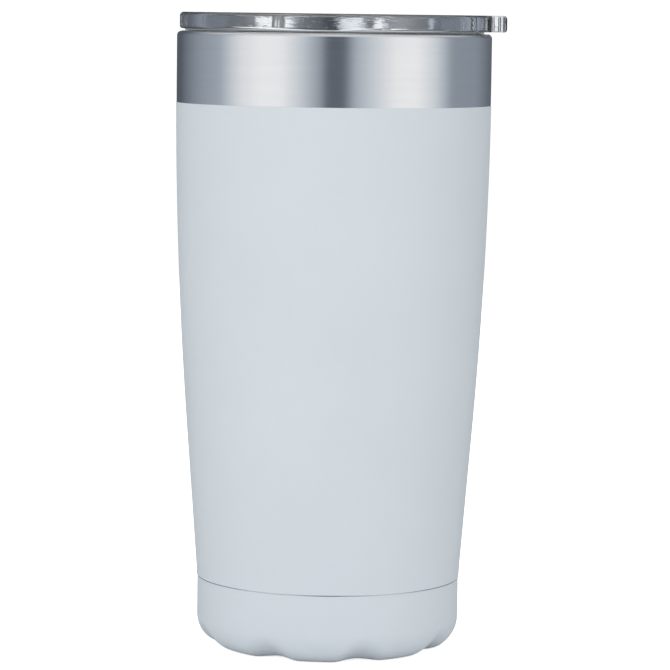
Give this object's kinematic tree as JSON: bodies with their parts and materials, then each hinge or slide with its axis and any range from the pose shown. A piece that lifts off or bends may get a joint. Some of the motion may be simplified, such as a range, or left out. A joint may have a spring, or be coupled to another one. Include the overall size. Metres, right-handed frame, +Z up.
{
  "type": "insulated tumbler with lid",
  "caption": "Tall tapered double-walled steel tumbler with a powder-coated wall, scalloped base and clear push-in lid with slider.",
  "frame": {"origin": "on the cup's axis, in the plane that the cup stands on", "axes": "+Z up along the cup's axis, +X towards the lid's pull tab, the slider and drink opening on the -X side"},
  "size_m": [0.0914, 0.0876, 0.177],
  "materials": {
    "brushed_steel": "brushed round the axis",
    "liner_steel": "fine satin",
    "powder_coat": "matte powder coat with a fine grain",
    "copper_foil": "bright copper foil",
    "solder_glass": "fused solder glass",
    "getter": "pressed metal powder",
    "clear_plastic": "clear co-polyester, polished",
    "slider_plastic": "polished translucent plastic",
    "silicone": "translucent silicone"
  },
  "bodies": {
    "cup": {"outer_wall": "brushed_steel", "inner_wall": "liner_steel", "wall_coating": "powder_coat", "reflective_foil": "copper_foil", "base_cup": "powder_coat", "seal_bead": "solder_glass", "base_cover_plate": "brushed_steel", "getter_clip": "liner_steel", "getter_pellet": "getter"},
    "lid": {"lid_body": "clear_plastic", "lid_gasket": "silicone"},
    "slider": {"slider": "slider_plastic", "slider_seal": "silicone"}
  },
  "joints": [
    {"name": "lid_lift", "type": "slide", "parent": "cup", "child": "lid", "axis": [0, 0, 1], "range_m": [0, 0.06]},
    {"name": "slider_slide", "type": "slide", "parent": "lid", "child": "slider", "axis": [1, 0, 0], "range_m": [0, 0.02]}
  ]
}
